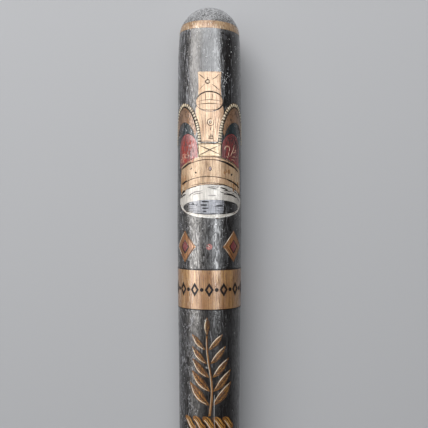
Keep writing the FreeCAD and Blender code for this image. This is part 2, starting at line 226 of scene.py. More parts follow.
bpy.ops.mesh.primitive_plane_add(size=0.001, location=(0, butt_y, axis_height))
billet = bpy.context.object
billet.name = "turned_billet"
bpy.ops.object.transform_apply(location=True)
bpy.ops.object.mode_set(mode="EDIT")
bpy.ops.mesh.merge(type="CENTER")
here = Vector((0, 0))
for station in billet_profile()[1:]:
    step = Vector(station) - here
    bpy.ops.mesh.extrude_region_move(TRANSFORM_OT_translate={"value": (0, step.x, -step.y)})
    here = Vector(station)
bpy.ops.mesh.select_all(action="SELECT")
bpy.ops.mesh.spin(steps=facets_round, angle=2 * math.pi, center=(0, 0, axis_height), axis=(0, 1, 0))
bpy.ops.mesh.select_all(action="SELECT")
bpy.ops.mesh.remove_doubles(threshold=merge_distance)
bpy.ops.mesh.normals_make_consistent(inside=False)
bpy.ops.object.mode_set(mode="OBJECT")

hole_middle = (0, butt_y + thong_hole_from_butt, axis_height)
bpy.ops.mesh.primitive_cylinder_add(
    vertices=48, radius=thong_hole_radius, depth=drill_length, location=hole_middle
)
drill = bpy.context.object
drill.rotation_euler = (0, math.pi / 2, 0)
bore = billet.modifiers.new("thong_hole", "BOOLEAN")
bore.operation = "DIFFERENCE"
bore.object = drill
bpy.context.view_layer.objects.active = billet
bpy.ops.object.modifier_apply(modifier=bore.name)
bpy.data.objects.remove(drill)
billet.select_set(True)
bpy.ops.object.shade_smooth_by_angle(angle=math.radians(40))


def add(tree, kind, inputs, **settings):
    """Adds a node. What goes into an input is either another node's output or a value."""
    made = tree.nodes.new("ShaderNode" + kind)
    for name, value in settings.items():
        setattr(made, name, value)
    for name, value in inputs.items():
        if isinstance(value, bpy.types.NodeSocket):
            tree.links.new(value, made.inputs[name])
        else:
            made.inputs[name].default_value = value
    return made


def grain(tree, across, along, detail=3, roughness=0.5, distortion=0.0):
    """Noise in lumps so many to the metre, drawn out along the truncheon."""
    place = add(tree, "TexCoord", {}).outputs["Object"]
    stretched = add(tree, "Mapping", {"Vector": place, "Scale": (across, along, across)}).outputs[0]
    shape = {"Scale": 1, "Detail": detail, "Roughness": roughness, "Distortion": distortion}
    return add(tree, "TexNoise", {"Vector": stretched, **shape}).outputs["Fac"]


def span(value, start, end, low=0.0, high=1.0):
    """Stretches the values from start to end over low to high, and holds them there."""
    wanted = {"Value": value, "From Min": start, "From Max": end, "To Min": low, "To Max": high}
    return add(value.id_data, "MapRange", wanted).outputs[0]


def times(first, second):
    """The product of two values."""
    return add(first.id_data, "Math", {0: first, 1: second}, operation="MULTIPLY").outputs[0]


def either(first, second):
    """The larger of two values."""
    return add(first.id_data, "Math", {0: first, 1: second}, operation="MAXIMUM").outputs[0]


def crackle(tree, across, along, width):
    """Fine wandering cracks, drawn out along the truncheon: 1 in a crack and 0 beside it."""
    wandering = grain(tree, across, along, 2, 0.6, 1.2)
    off_middle = add(tree, "Math", {0: wandering, 1: 0.5}, operation="SUBTRACT").outputs[0]
    distance = add(tree, "Math", {0: off_middle}, operation="ABSOLUTE").outputs[0]
    return span(distance, 0, width, 1, 0)


def layered(ground, *layers):
    """A ground colour with others over it, each as far as its share says."""
    colour = (*ground, 1)
    for share, over_it in layers:
        # Sockets 0, 6 and 7 of a Mix node are its share and its two colours.
        mixed = {0: share, 6: colour, 7: (*over_it, 1)}
        colour = add(share.id_data, "Mix", mixed, data_type="RGBA").outputs[2]
    return colour


def surface(shader, varying, *layers):
    """Feeds the shader what varies over it, and bump from heights that each have their depth in metres."""
    tree = shader.id_data
    below = {}
    for height, depth in layers:
        bump = add(tree, "Bump", {"Height": height, "Distance": depth, "Strength": 1.0, **below})
        below = {"Normal": bump.outputs[0]}
    for socket, value in {**varying, **below, "Coat Normal": bump.outputs[0]}.items():
        tree.links.new(value, shader.inputs[socket])


def ebonised_wood():
    """Black stain under old varnish, which is hazy, crazed, scratched and chipped. The tip is grey, partly
    wear and partly painted reflection; the haze thins towards the grip as painted shade.
    """
    values = {"Specular IOR Level": 0.2, "Coat Roughness": 0.15, "Coat IOR": 1.55}
    made, tree, shader = new_material("ebonised_wood", values)
    place = add(tree, "SeparateXYZ", {0: add(tree, "TexCoord", {}).outputs["Object"]}).outputs[1]
    crazing = span(place, butt_y + crazed_to, butt_y + sounder_from, 1, 0.55)
    # Painted shade: the haze thins towards the grip, so the lower barrel reads darker.
    haze_with_painted_shade = span(place, butt_y + shaded_haze_to, butt_y + unshaded_haze_from, 0.22, 0.5)
    tip_grey_zone = span(place, butt_y + tip_grey_from, butt_y + tip_grey_full_from)
    pores = grain(tree, 1500, 90, detail=4)
    bloom = span(grain(tree, 240, 46, detail=6, roughness=0.7), 0.48, 0.68)
    patches = grain(tree, 45, 25, detail=3)
    crowded = span(patches, 0.42, 0.6, 0.1, 1)
    dents = times(grain(tree, 260, 110, detail=4, roughness=0.65), crazing)
    cracks = times(crackle(tree, 620, 140, 0.075), crazing)
    scratches = span(grain(tree, 1800, 60, detail=2, distortion=0.5), 0.64, 0.68)
    specks = span(grain(tree, 900, 600, detail=1), 0.73, 0.76)
    chips = span(grain(tree, 380, 260, detail=3), 0.715, 0.73)
    # Painted reflection: the grey patches on the tip are partly wear and partly a bright window mirrored
    # there.
    tip_wear_and_sheen_pattern = span(grain(tree, 700, 420, detail=3, roughness=0.7, distortion=2.0), 0.38, 0.56)
    tip_wear_and_sheen = times(times(tip_wear_and_sheen_pattern, tip_grey_zone), 0.9)
    colour = layered(
        (0.003, 0.0025, 0.0025),
        (pores, (0.014, 0.009, 0.0075)),
        (times(bloom, haze_with_painted_shade), (0.024, 0.024, 0.028)),
        (tip_wear_and_sheen, (0.56, 0.565, 0.575)),
        (times(cracks, 0.7), (0.003, 0.003, 0.003)),
        (times(times(scratches, crowded), 0.5), (0.3, 0.31, 0.34)),
        (times(specks, crowded), (0.6, 0.6, 0.6)),
        (times(chips, crowded), (0.42, 0.41, 0.4)),
    )
    roughness = span(bloom, 0, 1, 0.24, 0.4)
    glossy = times(span(patches, 0.3, 0.5, 0.75, 1), span(cracks, 0, 1, 1, 0.05))
    varnish = times(glossy, span(tip_wear_and_sheen, 0, 1, 1, 0.2))
    varying = {"Base Color": colour, "Roughness": roughness, "Coat Weight": varnish}
    heights = [(pores, 0.00003), (patches, 0.0002), (dents, 0.00007), (cracks, -0.00004), (chips, -0.0001)]
    surface(shader, varying, *heights)
    return made


billet.data.materials.append(ebonised_wood())
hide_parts("turned_body")
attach(billet, "root")


# ---- tip band
# A gold line round the shoulder of the tip: bronze powder laid on gold size, browned by old varnish and
# rubbed through here and there. Short strokes of cream and brown are hatched over it along the grain.

paint_thickness = 0.00012
brush_step = 0.0025
hand_wobble = 0.00006
end_fineness = 0.15
rubbed_edge = 0.04
pale_count = 78
dark_count = 32
hatching_foot = 0.0003
hatching_top = 0.0022
least_painted_radius = 0.003
barrel_edge = []
for station, radius in billet_profile():
    if station > barrel_start - merge_distance and radius > least_painted_radius:
        barrel_edge.append((station, radius))


def gilding(name, bright, deep, worn=0.7, specular=0.15, coat=0.9, metal=0.1):
    """Streaky, cloudy gold: bright over deep, with dirt in the strokes, cracks, and bare places."""
    values = {"Specular IOR Level": specular, "Coat Roughness": 0.23, "Metallic": metal}
    made, tree, shader = new_material(name, values)
    strokes = grain(tree, 1300, 35, detail=3, roughness=0.6)
    clouds = grain(tree, 160, 70, detail=4)
    dirt = span(grain(tree, 2000, 80, detail=3), 0.56, 0.66)
    cracks = crackle(tree, 700, 260, 0.022)
    rubbed = span(grain(tree, 700, 420, detail=5, roughness=0.65), worn, worn + rubbed_edge)
    colour = layered(
        bright,
        (span(strokes, 0.35, 0.68), deep),
        (span(clouds, 0.4, 0.66, 0, 0.75), deep),
        (times(dirt, 0.6), (0.05, 0.022, 0.01)),
        (times(cracks, 0.45), (0.07, 0.03, 0.012)),
        (rubbed, (0.016, 0.011, 0.009)),
    )
    roughness = span(clouds, 0.3, 0.7, 0.22, 0.36)
    varnish = span(either(cracks, dirt), 0, 1, coat, coat * 0.3)
    varying = {"Base Color": colour, "Roughness": roughness, "Coat Weight": varnish}
    surface(shader, varying, (strokes, 0.00003), (clouds, 0.00006), (cracks, -0.00004), (rubbed, -0.00005))
    return made


def oil_paint(name, light, dark, worn=0.7, specular=0.15, coat=1.0):
    """Oil colour, streaky from the brush and uneven in depth, with fine cracks and bare places."""
    values = {"Roughness": 0.35, "Specular IOR Level": specular, "Coat Roughness": 0.27}
    made, tree, shader = new_material(name, values)
    strokes = grain(tree, 1100, 90, detail=4, roughness=0.6)
    patches = grain(tree, 230, 120, detail=3)
    cracks = crackle(tree, 700, 260, 0.02)
    rubbed = span(grain(tree, 800, 500, detail=5, roughness=0.65), worn, worn + rubbed_edge)
    colour = layered(
        light,
        (span(strokes, 0.35, 0.7), dark),
        (span(patches, 0.45, 0.72, 0, 0.7), dark),
        (times(cracks, 0.4), (0.03, 0.02, 0.018)),
        (rubbed, (0.016, 0.012, 0.011)),
    )
    varnish = span(either(cracks, rubbed), 0, 1, coat, coat * 0.3)
    varying = {"Base Color": colour, "Coat Weight": varnish}
    surface(shader, varying, (strokes, 0.00005), (cracks, -0.00003), (rubbed, -0.00005))
    return made


def give_finish(material, *nodes):
    """Gives pieces of the frame their paint or gilding."""
    for node in nodes:
        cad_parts[node].data.materials[0] = material


def wood_radius(y):
    """Radius of the bare wood anywhere along the barrel and its tip."""
    station = y - butt_y
    for start, end in zip(barrel_edge, barrel_edge[1:]):
        if station <= end[0]:
            share = (station - start[0]) / (end[0] - start[0])
            return start[1] + share * (end[1] - start[1])
    return barrel_edge[-1][1]


def lay(painted, paint, lift, flatness):
    """Wraps a flat piece of paint round the wood, as thick as the flatness makes it."""
    for vertex in painted.data.vertices:
        reach = wood_radius(vertex.co.y) + lift + vertex.co.z * flatness
        turn = vertex.co.x / wood_radius(vertex.co.y)
        vertex.co = (reach * math.sin(turn), vertex.co.y, axis_height + reach * math.cos(turn))
    bpy.ops.object.shade_smooth()
    painted.data.materials.append(paint)
    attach(painted, "root")


def brush(name, strokes, width, paint, slot="black_paint", lift=paint_thickness, smoothness=3, flatness=0.3):
    """Brush strokes laid over the barrel, each through places on the unrolled wood, and thin at both ends."""
    hand = random.Random(name)
    bpy.ops.curve.primitive_nurbs_path_add()
    drawn = bpy.context.object
    drawn.name = name
    drawn.data.splines.clear()
    drawn.data.bevel_depth = width / 2
    drawn.data.bevel_resolution = 1
    drawn.data.use_fill_caps = True
    for stroke in strokes:
        spots = [stroke[0]]
        for start, end in zip(stroke, stroke[1:]):
            pieces = math.ceil((end - start).length / brush_step)
            spots += [start.lerp(end, piece / pieces) for piece in range(1, pieces + 1)]
        if len(spots) == 2:
            spots.insert(1, (spots[0] + spots[1]) / 2)
        line = drawn.data.splines.new("NURBS")
        line.points.add(len(spots) - 1)
        for number, spot in enumerate(spots):
            place = spot + Vector((hand.gauss(0, hand_wobble), hand.gauss(0, hand_wobble)))
            swell = math.sin(math.pi * (end_fineness + (1 - 2 * end_fineness) * number / (len(spots) - 1)))
            line.points[number].co = (*place, 0, 1)
            line.points[number].radius = swell * hand.uniform(0.8, 1.2)
        line.order_u = 3
        line.use_endpoint_u = True
        line.resolution_u = smoothness
    bpy.ops.object.convert(target="MESH")
    lay(drawn, paint, lift, flatness)
    return drawn


def dab(across, start, length, drift=0.0):
    """A short stroke along the grain, from its place on the unrolled wood, that drifts a little aside."""
    return [Vector((across, start)), Vector((across + drift, start + length))]


tip_gilt = gilding("tip_gilding", (0.54, 0.38, 0.22), (0.27, 0.14, 0.065), coat=0.75)
cream = oil_paint("cream_lights", (0.8, 0.73, 0.6), (0.56, 0.46, 0.32), 0.76, 0.6, 0.5)
glaze = oil_paint("umber_glaze", (0.055, 0.025, 0.012), (0.02, 0.01, 0.006), 0.74, 0.05, 0.2)
cream_brush = functools.partial(brush, paint=cream, slot="pearl_paint")
glaze_brush = functools.partial(brush, paint=glaze)
give_finish(tip_gilt, "tip_band")
band_low, band_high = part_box("tip_band")
hand = random.Random("tip band")
hatching = []
for stroke in range(pale_count + dark_count):
    across = hand.uniform(-math.pi, math.pi) * dome_radius
    start = hand.uniform(band_low.y + hatching_foot, band_high.y - hatching_top)
    hatching.append(dab(across, start, hand.uniform(0.0012, 0.002), hand.uniform(-0.0004, 0.0004)))
cream_brush("tip_band_pale_hatching", hatching[:pale_count], 0.0008, smoothness=1)
glaze_brush("tip_band_dark_hatching", hatching[pale_count:], 0.0005, smoothness=1)


# ---- crown: cross and orb
# Two gilt fields with their drawing on top: the arms of the cross, its jewel and the bands of the orb are
# lines of brown glaze put on with a fine pointed brush, with a dab of cream for the jewel's light.

def flat_place(spot):
    """Where a place on the barrel lies with the wood unrolled flat: round from the top line, and along."""
    return Vector((wood_radius(spot.y) * math.atan2(spot.x, spot.z - axis_height), spot.y))


def flat_box(node):
    """Middle and half-size of a painted layer, unrolled flat."""
    spots = [flat_place(vertex.co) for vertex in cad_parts[node].data.vertices]
    least = Vector((min(spot.x for spot in spots), min(spot.y for spot in spots)))
    most = Vector((max(spot.x for spot in spots), max(spot.y for spot in spots)))
    return (least + most) / 2, (most - least) / 2


def over(node, *strokes):
    """Strokes given in halves of a layer's flat size, from its middle, as places on the unrolled wood."""
    middle, half = flat_box(node)
    return [[middle + half * Vector(place) for place in stroke] for stroke in strokes]


def bow(middle, width, rise, start, end, steps=14):
    """Places on an oval, anticlockwise from start to end in degrees. A width or rise is half the oval's."""
    turns = [math.radians(start + (end - start) * step / steps) for step in range(steps + 1)]
    return [Vector((middle[0] + width * math.cos(turn), middle[1] + rise * math.sin(turn))) for turn in turns]


def round_edge(node, across, along, start, end, steps=14):
    """A bow round a painted layer, at shares of its half-sizes."""
    middle, half = flat_box(node)
    return bow(middle, half.x * across, half.y * along, start, end, steps)


def about(spot, *places):
    """A stroke through places given from a spot."""
    return [spot + Vector(place) for place in places]


gilt = gilding("gilding", (0.72, 0.545, 0.365), (0.44, 0.255, 0.14), coat=0.6)
give_finish(gilt, "crown_cross", "crown_orb")
arms = over(
    "crown_cross",
    [(-0.93, 0.84), (-0.66, 0.6), (-0.4, 0.36)],
    [(0.8, 0.8), (0.52, 0.52), (0.22, 0.34)],
    [(0.18, -0.08), (0.5, -0.28), (0.84, -0.56)],
    [(-0.42, -0.06), (-0.66, -0.28), (-0.9, -0.5)],
    [(-0.18, 0.52), (-0.17, 0.4)],
)
cross_edges = over(
    "crown_cross", [(-0.97, 0.93), (0, 0.975), (0.97, 0.93)], [(0.96, 0.9), (0.85, 0.1), (0.93, -0.5)]
)
jewel = over("crown_cross", [(-0.17, 0.15)])[0][0]
glaze_brush("crown_cross_lines", arms, 0.0006)
glaze_brush("crown_cross_jewel", [bow(jewel, 0.0013, 0.0012, 20, 375)], 0.0009)
cream_brush("crown_cross_jewel_light", [bow(jewel, 0.0003, 0.0003, 0, 300)], 0.0008)
glaze_brush("crown_cross_edges", cross_edges, 0.00026)

orb_lines = over(
    "crown_orb",
    [(-0.3, 0.9), (-0.29, 0.3), (-0.28, 0.05)],
    [(0.16, 0.92), (0.17, 0.45), (0.17, 0.05)],
    [(-0.93, 0), (-0.45, 0.12), (0.1, 0.15), (0.55, 0.12), (0.95, 0.02)],
    [(-0.96, -0.3), (-0.5, -0.24), (0, -0.2), (0.5, -0.23), (0.97, -0.3)],
    [(-0.82, -0.62), (-0.45, -0.84), (0.1, -0.9), (0.6, -0.82), (0.86, -0.58)],
)
orb_rim = [round_edge("crown_orb", 0.985, 0.975, 10, 170), round_edge("crown_orb", 0.97, 0.98, -75, 10)]
glaze_brush("crown_orb_lines", orb_lines, 0.0005)
glaze_brush("crown_orb_rim", orb_rim, 0.0008)


# ---- crown: arches and pearls
# The front arch is bright gold with a jewel drawn on it. The two at the sides are browner and flecked with
# glaze, over a teal ground, and dabs of thick cream paint run along them on brown, for pearls.

pearl_radius = 0.001
pearl_pitch = 0.0015
pearl_foot = butt_y + 0.3543
arch_rise = 0.025
arch_field_inset = 0.0014
fleck_count = 120

brown_gilt = gilding("brown_gilding", (0.44, 0.24, 0.115), (0.16, 0.074, 0.033), 0.66, 0.1, 1.0)
pearl = oil_paint("pearl_cream", (0.8, 0.72, 0.54), (0.56, 0.42, 0.24), 0.78, 0.5, 0.6)
teal = oil_paint("dark_teal", (0.01, 0.03, 0.036), (0.005, 0.01, 0.013), 0.66, 0.05, 0.8)
brown = oil_paint("warm_ground", (0.15, 0.092, 0.052), (0.05, 0.028, 0.016), 0.72, 0.05, 0.3)
black = oil_paint("lamp_black", (0.008, 0.006, 0.006), (0.022, 0.014, 0.01), 0.66, 0.05, 0.12)
black_brush = functools.partial(brush, paint=black)
give_finish(gilt, "crown_centre_arch")
give_finish(brown_gilt, "crown_arch_left", "crown_arch_right")
for side, sign in (("left", -1), ("right", 1)):
    middle, half = flat_box("crown_pearls_" + side)
    spring = Vector((middle.x, middle.y + half.y - pearl_radius - arch_rise))
    reach = half.x - pearl_radius
    string = bow(spring, sign * reach, arch_rise, 0, 180, 90)
    string.append(Vector((string[-1].x, pearl_foot)))
    pearls = []
    for start, end in zip(string, string[1:]):
        if not pearls or (end - pearls[-1][0]).length > pearl_pitch:
            ahead = (end - start).normalized()
            pearls.append([end, end + ahead * pearl_radius])
    hand = random.Random("arch " + side)
    flecks = []
    for fleck in range(fleck_count):
        inset = hand.uniform(0.0024, 0.0068)
        turn = hand.uniform(15, 165)
        spot = bow(spring, sign * (reach - inset), arch_rise - inset, turn, turn, 1)[0]
        flecks.append(dab(*spot, hand.uniform(0.0005, 0.0016)))
    under_arch = over(
        "crown_cap_" + side,
        [(-0.66, 0.92), (0.02, 1.18), (0.7, 0.88)],
        [(-0.58, 1.08), (0.02, 1.32), (0.62, 1.04)],
        [(-0.46, 1.24), (0.04, 1.45), (0.5, 1.2)],
        [(-0.3, 1.42), (0.05, 1.56), (0.36, 1.38)],
    )
    shade = bow(spring, sign * (reach - arch_field_inset), arch_rise - arch_field_inset, 25, 160, 20)
    brush("crown_pearl_ground_" + side, [string], 0.0027, brown, lift=0.00006, flatness=0.06)
    strung = brush(
        "crown_pearl_string_" + side, pearls, 0.0031, pearl, "pearl_paint", smoothness=4, flatness=0.24
    )
    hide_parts("crown_pearls_" + side)
    glaze_brush("crown_arch_flecks_" + side, flecks, 0.0006, smoothness=1)
    brush("crown_lining_" + side, under_arch, 0.0028, teal, lift=0, flatness=0.025)
    black_brush("crown_pearl_shade_" + side, [shade], 0.0007)

arch_streaks = over(
    "crown_centre_arch",
    [(-0.62, 0.62), (-0.5, 0.1), (-0.44, -0.9)],
    [(-0.3, 0.55), (-0.26, -0.1), (-0.24, -0.85)],
    [(0.36, 0.48), (0.4, 0.1), (0.42, -0.35)],
    [(0.7, 0.6), (0.56, 0), (0.5, -0.9)],
    [(0.2, -0.35), (0.21, -0.9)],
    [(-0.25, 0.84), (-0.24, 0.7)],
    [(0.36, 0.42), (0.38, 0.3)],
)
arch_foot = over("crown_centre_arch", [(-0.75, -0.965), (0.0, -0.955), (0.72, -0.965)])
pendant, drop, mark = over("crown_centre_arch", [(0.06, 0.08), (0.07, -0.3), (0.07, -0.7)])[0]
pendant_rings = [bow(pendant, 0.0021, 0.0022, 60, 400), bow(pendant, 0.0007, 0.0008, 0, 360, 8)]
pendant_lights = [bow(pendant, 0.0013, 0.0013, 70, 250, 8), about(pendant, (0.0003, 0.0009), (0, -0.0003))]
fleur = [
    about(mark, (0, 0.0014), (0, -0.001)),
    about(mark, (-0.0013, 0.0006), (-0.0004, -0.0002), (-0.0011, -0.0012)),
    about(mark, (0.0012, 0.0008), (0.0004, -0.0001), (0.0013, -0.0011)),
    about(drop, (0.0002, 0.0012), (-0.0003, 0.0002), (0, -0.0008)),
    about(mark, (-0.0014, -0.0014), (0, -0.0018), (0.0014, -0.0014)),
]
glaze_brush("crown_centre_arch_streaks", arch_streaks, 0.0003)
glaze_brush("crown_centre_arch_jewel", pendant_rings, 0.0006)
cream_brush("crown_centre_arch_jewel_light", pendant_lights, 0.0006)
glaze_brush("crown_centre_arch_fleur", fleur, 0.00085)
glaze_brush("crown_centre_arch_foot", arch_foot, 0.0004)


# ---- crown: cap
# Two fields of red lake show between the arches, darkened with lake for the folds. Vermilion strokes on
# the left cap are a painted highlight where the window light falls, and black at the top of the right cap
# is painted shade under the arch. Small open scrolls of gold and pink, drawn with a loaded brush, stand
# for embroidery.

highlight_count = 110
cap_top_shade_count = 65
cap_reach = 0.88

red = oil_paint("red_lake", (0.36, 0.034, 0.028), (0.065, 0.007, 0.008), 0.66)
highlight_red = oil_paint("vermilion", (0.52, 0.055, 0.03), (0.18, 0.016, 0.01), 0.7, 0.1, 0.15)
dark_red = oil_paint("dark_lake", (0.06, 0.009, 0.011), (0.025, 0.005, 0.007), 0.7, 0.05, 0.7)
thread = oil_paint("gold_thread", (0.66, 0.4, 0.27), (0.42, 0.2, 0.11), 0.76)
give_finish(red, "crown_cap_left", "crown_cap_right")
loop = over("crown_cap_right", [(-0.49, 0.1)])[0][0]
right_scrolls = [bow(loop, 0.0018, 0.0018, -50, 200)]
right_scrolls += over(
    "crown_cap_right",
    [(-0.32, -0.06), (-0.42, -0.22), (-0.3, -0.33)],
    [(-0.17, -0.3), (0.02, -0.06), (0.22, 0.17), (0.29, 0.36)],
    [(-0.08, -0.1), (0.16, -0.12), (0.42, -0.02)],
    [(0.05, -0.34), (0.3, -0.28), (0.46, -0.4)],
    [(-0.1, -0.52), (0.14, -0.46), (0.3, -0.58)],
    [(0.34, 0.02), (0.5, 0.1)],
    [(0.56, -0.3), (0.68, -0.34)],
    [(-0.52, -0.3), (-0.44, -0.42)],
    [(-0.6, -0.5), (-0.5, -0.62)],
)
small_loops = over("crown_cap_left", [(-0.52, -0.28), (-0.12, -0.3), (-0.72, -0.56)])[0]
left_scrolls = [bow(small_loop, 0.0011, 0.0012, 40, 330, 9) for small_loop in small_loops]
left_scrolls += over(
    "crown_cap_left",
    [(-0.3, -0.1), (-0.4, -0.3), (-0.34, -0.48)],
    [(0.05, -0.1), (0.2, -0.26), (0.1, -0.42)],
    [(-0.6, -0.4), (-0.45, -0.52), (-0.5, -0.66)],
)
folds = []
for side, fold in (
    ("right", [(-0.66, 0.3), (-0.72, -0.2), (-0.62, -0.6)]),
    ("right", [(0.62, 0.35), (0.7, 0), (0.66, -0.5)]),
    ("left", [(-0.78, 0.1), (-0.8, -0.4), (-0.74, -0.8)]),
    ("left", [(-0.2, 0.62), (-0.26, 0.2), (-0.22, -0.05)]),
    ("right", [(-0.4, 0.8), (0, 0.93), (0.45, 0.74)]),
    ("right", [(-0.3, 0.72), (0.1, 0.82), (0.55, 0.58)]),
):
    folds += over("crown_cap_" + side, fold)
# Painted highlight: vermilion strokes lighten the left cap, on the side the window light falls.
hand = random.Random("cap lights")
cap_painted_highlights = []
for light in range(highlight_count):
    across = hand.triangular(-0.88, 0.72, -0.35)
    along = hand.uniform(-0.75, 0.45)
    drift = hand.uniform(-0.03, 0.03)
    length = hand.uniform(0.12, 0.34)
    cap_painted_highlights += over("crown_cap_left", [(across, along), (across + drift, along + length)])
hand = random.Random("cap specks")
cap_specks = []
for node, count in (("crown_cap_left", 60), ("crown_cap_right", 70)):
    for speck in range(count):
        reach = cap_reach * math.sqrt(hand.random())
        turn = hand.uniform(0, 2 * math.pi)
        foot = over(node, [(reach * math.cos(turn), reach * math.sin(turn) * 0.9)])[0][0]
        cap_specks.append(dab(*foot, hand.uniform(0.0005, 0.0018)))
# Painted shade: black strokes darken the top of the right cap, under the arch.
cap_top_shade = []
for stroke in range(cap_top_shade_count):
    across = hand.uniform(-0.62, 0.85)
    along = hand.triangular(0.05, 0.95, 0.95) * math.sqrt(1 - across * across)
    cap_top_shade += over("crown_cap_right", [(across, along - hand.uniform(0.08, 0.22)), (across, along)])
brush("crown_cap_scrolls_right", right_scrolls, 0.0008, thread, "gilt", lift=0.0002)
brush("crown_cap_scrolls_left", left_scrolls, 0.0006, thread, "gilt", lift=0.0002)
brush("crown_cap_lights", cap_painted_highlights, 0.0009, highlight_red, "red_paint", flatness=0.12)
brush("crown_cap_shadows", folds, 0.0006, dark_red, "red_paint")
brush("crown_cap_specks", cap_specks, 0.0007, dark_red, "red_paint", smoothness=1)
# The strokes named gloom are painted shade at the top of the right cap.
brush("crown_cap_gloom", cap_top_shade, 0.001, black, "red_paint", flatness=0.12, smoothness=1)


# ---- crown: brow panel and circlet
# The gold rim of the crown, with its mouldings ruled in glaze and black, heavier away from the light.
# Deeper gold at its ends and right of the jewel is partly rubbed wear and partly painted shade where the
# barrel turns from the light. A pale crossed panel stands on it, and a lozenge jewel hangs in front.

brow_left = -0.0071
brow_width = 0.0149
brow_foot = butt_y + 0.346
brow_height = 0.0085
brow_wobble = 0.00012
on_top_of_brow = 2 * paint_thickness
top_bow = 0.072
foot_bow = 0.084

pale_gilt = gilding("pale_gilding", (0.79, 0.62, 0.4), (0.49, 0.33, 0.175), 0.74)
bpy.ops.mesh.primitive_grid_add(x_subdivisions=30, y_subdivisions=12, size=1)
brow = bpy.context.object
brow.name = "crown_brow_field"
for vertex in brow.data.vertices:
    wobble = brow_wobble * math.sin(31 * vertex.co.y + 9 * vertex.co.x)
    vertex.co.x = brow_left + brow_width * (vertex.co.x + 0.5) + wobble
    vertex.co.y = brow_foot + brow_height * (vertex.co.y + 0.5) + wobble
bpy.ops.object.modifier_add(type="SOLIDIFY")
brow.modifiers[0].thickness = paint_thickness
bpy.ops.object.modifier_apply(modifier=brow.modifiers[0].name)
lay(brow, pale_gilt, paint_thickness, 1)
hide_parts("crown_brow_panel")


def on_brow(*places):
    """A stroke on the brow panel, which goes from (0, 0) at its lower left to (1, 1) at its upper right."""
    return [Vector((brow_left + brow_width * x, brow_foot + brow_height * y)) for x, y in places]


def moulding(start, end, drop, curve):
    """A line round the circlet, so far below its top, that sinks away to the sides in a flat curve."""
    rounds = [start + (end - start) * step / 10 for step in range(11)]
    return [Vector((across, circlet_top - drop - across * across / curve)) for across in rounds]


crossing = [
    on_brow((0.05, 0.84), (0.5, 0.5), (0.95, 0.14)),
    on_brow((0.06, 0.12), (0.5, 0.5), (0.93, 0.86)),
    on_brow((0.03, 0.93), (0.5, 0.95), (0.97, 0.92)),
    on_brow((0.02, 0.06), (0.01, 0.5), (0.01, 0.95)),
]
brow_edge = on_brow((0.995, 0.98), (1.0, 0.5), (0.99, 0.05))
glaze_brush("crown_brow_lines", crossing, 0.00055, lift=on_top_of_brow)
glaze_brush("crown_brow_edge", [brow_edge], 0.0009, lift=on_top_of_brow)

circlet_gilt = gilding(
    "circlet_gilding", (0.74, 0.545, 0.355), (0.45, 0.27, 0.145), specular=0.1, coat=0.45, metal=0.04
)
deep_gilt_wear_and_shade = gilding("deep_gilding", (0.5, 0.27, 0.085), (0.26, 0.11, 0.03), 0.68)
violet = oil_paint("violet_grey", (0.46, 0.37, 0.4), (0.24, 0.17, 0.19), 0.74, 0.05, 0.3)
give_finish(circlet_gilt, "crown_circlet")
circlet_middle, circlet_half = flat_box("crown_circlet")
circlet_top = circlet_middle.y + circlet_half.y
thin_mouldings = [
    moulding(-0.019, 0.022, 0.0021, top_bow),
    moulding(-0.018, 0.0225, 0.0127, foot_bow),
    moulding(-0.012, 0.0225, 0.0168, foot_bow),
    moulding(-0.005, 0.0215, 0.0003, top_bow),
]
bold_mouldings = [
    moulding(0.006, 0.0225, 0.0023, top_bow),
    moulding(0.012, 0.0235, 0.0128, foot_bow),
    moulding(-0.0205, -0.0155, 0.0124, foot_bow),
    moulding(-0.0205, -0.012, 0.0018, top_bow),
    moulding(-0.0205, -0.017, 0.0178, foot_bow),
]
hand = random.Random("circlet")
# Partly wear, partly painted shade: deeper gold strokes darken the circlet's ends, which turn from the light.
worn_and_shaded_strokes = []
for left, right, foot, top, count in (
    (0.009, 0.014, 0.3345, 0.34, 9),
    (-0.0215, -0.0165, 0.323, 0.337, 14),
    (0.0165, 0.023, 0.3225, 0.333, 16),
):
    for stroke in range(count):
        across = hand.uniform(left, right)
        start = butt_y + hand.uniform(foot, (foot + top) / 2)
        worn_and_shaded_strokes.append(dab(across, start, (top - foot) * hand.uniform(0.3, 0.5)))
rim_spots = over("crown_circlet", [(-0.05, 0.35), (-0.45, 0.14), (0.6, 0.05), (-0.6, 0.36)])[0]
lozenge, left_stud, right_stud, tick = rim_spots
lozenge_heart = about(lozenge, (0, 0.0009), (0, 0), (0, -0.0009))
lozenge_outline = bow(lozenge, 0.001375, 0.00175, 90, -270, 4)
studs = [
    bow(left_stud, 0.0003, 0.0003, 0, 300, 5),
    bow(right_stud, 0.0005, 0.0005, 0, 300, 5),
    about(tick, (-0.0005, -0.0004), (0.0005, 0.0005)),
]
glaze_brush("crown_circlet_lines", thin_mouldings, 0.0006)
black_brush("crown_circlet_shade", bold_mouldings, 0.0014)
# The worn strokes are partly rubbing and partly painted shade.
brush("crown_circlet_worn", worn_and_shaded_strokes, 0.0014, deep_gilt_wear_and_shade, "gilt", flatness=0.1)
brush("crown_circlet_jewel_heart", [lozenge_heart], 0.0016, violet)
glaze_brush("crown_circlet_jewel", [lozenge_outline], 0.0004, lift=0.0002)
black_brush("crown_circlet_studs", studs, 0.0011)


# ---- crown: ermine ring
# The fur edge at the foot of the crown: lead white laid thick in a hoop, yellowed, with its black tails
# and grey folds flicked in wet. Slate-blue strokes across the mouth of the hoop are a painted reflection of
# the window in the varnish, with sooty dashes on it.

